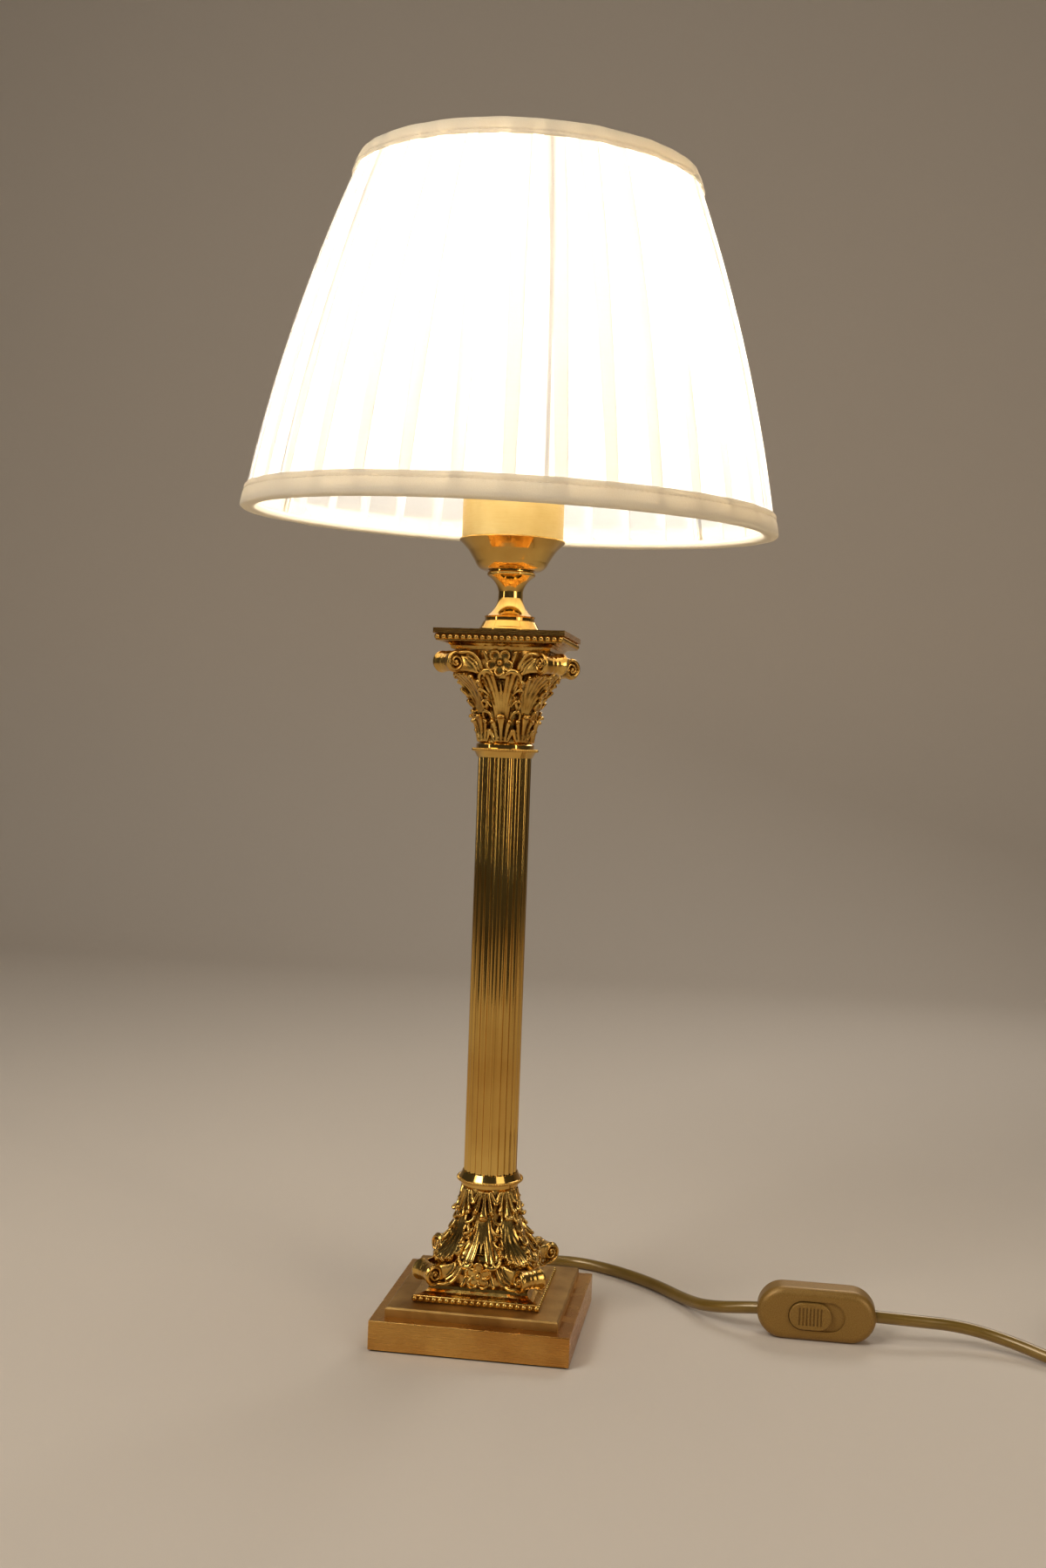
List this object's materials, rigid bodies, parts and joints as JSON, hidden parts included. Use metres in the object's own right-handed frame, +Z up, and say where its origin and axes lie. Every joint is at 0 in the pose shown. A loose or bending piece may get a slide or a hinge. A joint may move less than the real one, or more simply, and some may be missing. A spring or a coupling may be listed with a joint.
{
  "type": "column table lamp",
  "caption": "Table lamp with a fluted brass column between leaf castings on a square stepped base, a pleated shade, a bulb, and a cord with an in-line switch and a plug.",
  "frame": {"origin": "on the table under the column's axis, at the underside of the felt", "axes": "+Z up along the column, +X to the right towards the cord's coil, -Y to the front; the base's sides lie along X and Y"},
  "size_m": [0.5621, 0.2986, 0.6189],
  "materials": {
    "felt": "woven felt",
    "plate_steel": "plain",
    "brass": "polished and lacquered",
    "weight_iron": "as cast",
    "zinc_steel": "zinc plated",
    "holder_plastic": "moulded",
    "ceramic": "unglazed ceramic",
    "contact_brass": "plain",
    "bulb_metal": "rolled",
    "bulb_black_glass": "fired glass",
    "bulb_opal": "opal",
    "frame_wire": "white powder coat",
    "shade_cloth": "knife pleated",
    "trim_cloth": "folded band",
    "cord_sheath": "smooth",
    "gland_plastic": "moulded",
    "switch_plastic": "moulded",
    "plug_plastic": "moulded",
    "pin_nickel": "nickel plated"
  },
  "bodies": {
    "lamp": {"base_felt": "felt", "bottom_plate": "plate_steel", "base_shell": "brass", "base_weight": "weight_iron", "step_plate": "brass", "threaded_rod": "zinc_steel", "base_washer": "zinc_steel", "base_nut": "zinc_steel", "foot_casting": "brass", "capital_casting": "brass", "lower_collar": "brass", "upper_collar": "brass", "column_tube": "brass", "top_plate": "brass", "neck": "brass", "cup": "brass", "socket_sleeve": "brass", "cup_nut": "zinc_steel", "holder_cap": "holder_plastic", "holder_body": "holder_plastic", "terminal_insert": "ceramic", "screw_shell": "contact_brass", "centre_contact": "contact_brass", "shade_ring_nut": "holder_plastic", "bulb_cap": "bulb_metal", "bulb_insulator": "bulb_black_glass", "bulb_tip": "bulb_metal", "bulb_glass": "bulb_opal", "cord_gland": "gland_plastic", "inner_flex": "cord_sheath", "cord_lamp_side": "cord_sheath", "cord_mains_side": "cord_sheath", "cord_tail": "cord_sheath", "cord_coil": "cord_sheath", "switch_front": "switch_plastic", "switch_back": "switch_plastic", "switch_screws": "zinc_steel", "switch_contacts": "contact_brass", "plug_body": "plug_plastic", "plug_pins": "pin_nickel"},
    "shade": {"shade_fabric": "shade_cloth", "shade_bottom_trim": "trim_cloth", "shade_top_trim": "trim_cloth", "shade_bottom_ring": "frame_wire", "shade_top_ring": "frame_wire", "shade_struts": "frame_wire", "shade_spider": "frame_wire"},
    "slider": {"switch_slider": "switch_plastic"}
  },
  "joints": [
    {"name": "shade_turn", "type": "hinge", "parent": "lamp", "child": "shade", "pos_m": [0, 0, 0.46], "axis": [0, 0, 1], "continuous": true},
    {"name": "switch_slide", "type": "slide", "parent": "lamp", "child": "slider", "axis": [1, 0, 0], "range_m": [0, 0.0065]}
  ]
}
